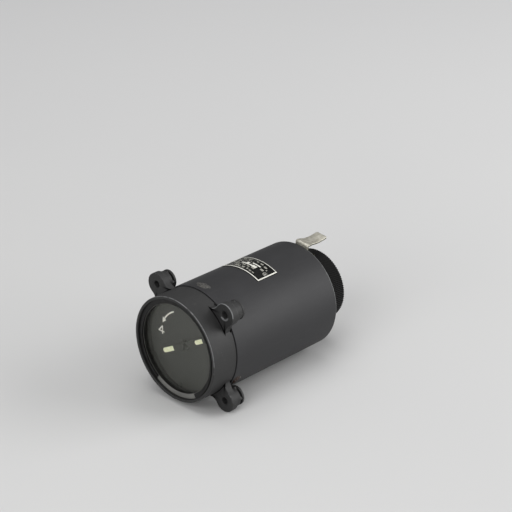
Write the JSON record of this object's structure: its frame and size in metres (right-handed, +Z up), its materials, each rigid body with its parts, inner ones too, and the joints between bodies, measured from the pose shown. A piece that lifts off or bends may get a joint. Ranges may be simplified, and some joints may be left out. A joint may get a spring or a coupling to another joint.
{
  "type": "engine synchronizer indicator",
  "caption": "Round panel instrument with a lugged front ring, glass, dial and double-ended pointer, long cylindrical case, knurled rear connector ring and bent latch tab.",
  "frame": {"origin": "centre of the circle through the four lug holes, on the plane of the lugs' front faces", "axes": "+Y from the dial to the rear along the case's axis, +Z up, +X to the right seen from the front; the latch tab stands 6 degrees clockwise of +Z"},
  "size_m": [0.084, 0.1483, 0.0857],
  "materials": {
    "housing_paint": "cast aluminium, satin black paint, worn to bare metal at the edges",
    "case_paint": "drawn tube, satin black paint with fine rubs and dust",
    "knurl_paint": "black finish, a little glossier than the case",
    "glass": "clear flat glass",
    "rubber": "dull black rubber",
    "washer_paint": "thin steel washer, worn grey paint",
    "dark_steel": "blackened spring steel",
    "dial_face": "matt black, aged to olive, fine scratches",
    "pointer_paint": "matt black",
    "lume": "aged luminous paint, pale green-yellow",
    "seal_compound": "dried dark brown sealing compound",
    "plate_black": "black plate with a silver-white border and rules",
    "nickel": "dull nickel plate, scratched",
    "steel": "plain turned steel",
    "bright_steel": "polished bearing steel",
    "aluminium": "plain machined aluminium",
    "brass": "turned brass",
    "core_steel": "stacked sheet steel, varnished",
    "enamelled_wire": "enamelled copper wire, wound",
    "phenolic": "brown moulded insulation",
    "wire_cover": "varnished woven sleeve"
  },
  "bodies": {
    "housing": {"front_housing": "housing_paint", "lug_nuts": "dark_steel", "snap_ring": "dark_steel", "glass_washer": "washer_paint", "cover_glass": "glass", "glass_gasket": "rubber", "dial_plate": "dial_face", "dial_screws": "dark_steel", "stator_core": "core_steel", "stator_windings": "enamelled_wire", "brush_block": "phenolic", "brush_block_screws": "steel", "brushes": "brass", "front_bearing_bracket": "aluminium", "rear_bearing_bracket": "aluminium", "bracket_screws": "steel", "front_spacers": "aluminium", "rear_spacers": "aluminium", "tie_bolts": "steel", "front_bearing_outer_ring": "bright_steel", "rear_bearing_outer_ring": "bright_steel", "case_tube": "case_paint", "case_screws": "steel", "screw_seals": "seal_compound", "data_plate": "plate_black", "data_plate_pins": "steel", "rear_gasket": "rubber", "rear_cover": "case_paint", "rear_cover_screws": "steel", "connector_shell": "aluminium", "connector_block": "phenolic", "contact_pins": "brass", "connector_screws": "steel", "coupling_ring_clip": "dark_steel", "lock_guide": "steel", "lock_guide_screws": "steel", "lock_spring": "steel", "lead_wires": "wire_cover"},
    "rotor": {"pointer": "pointer_paint", "pointer_lume": "lume", "pointer_hub": "brass", "pointer_cap": "pointer_paint", "rotor_shaft": "steel", "rotor_core": "core_steel", "rotor_windings": "enamelled_wire", "slip_ring_sleeve": "phenolic", "slip_rings": "brass", "front_bearing_inner_ring": "bright_steel", "rear_bearing_inner_ring": "bright_steel"},
    "front_balls": {"front_bearing_balls": "bright_steel"},
    "rear_balls": {"rear_bearing_balls": "bright_steel"},
    "coupling_ring": {"coupling_ring": "knurl_paint"},
    "lock_slide": {"lock_slide": "nickel"}
  },
  "joints": [
    {"name": "rotor_spin", "type": "hinge", "parent": "housing", "child": "rotor", "pos_m": [0, 0, 0], "axis": [0, 1, 0], "continuous": true},
    {"name": "front_balls_spin", "type": "hinge", "parent": "housing", "child": "front_balls", "pos_m": [0, 0, 0], "axis": [0, 1, 0], "continuous": true},
    {"name": "rear_balls_spin", "type": "hinge", "parent": "housing", "child": "rear_balls", "pos_m": [0, 0, 0], "axis": [0, 1, 0], "continuous": true},
    {"name": "coupling_ring_turn", "type": "hinge", "parent": "housing", "child": "coupling_ring", "pos_m": [0, 0, 0], "axis": [0, 1, 0], "continuous": true},
    {"name": "lock_slide_pull", "type": "slide", "parent": "housing", "child": "lock_slide", "axis": [0.1045, 0, 0.9945], "range_m": [0, 0.002], "stiffness_N_per_m": 1000, "springref_m": -0.001, "deforming": ["lock_spring"]}
  ],
  "couplings": [
    {"joint": "front_balls_spin", "follows": "rotor_spin", "ratio": 0.365},
    {"joint": "rear_balls_spin", "follows": "rotor_spin", "ratio": 0.365}
  ]
}
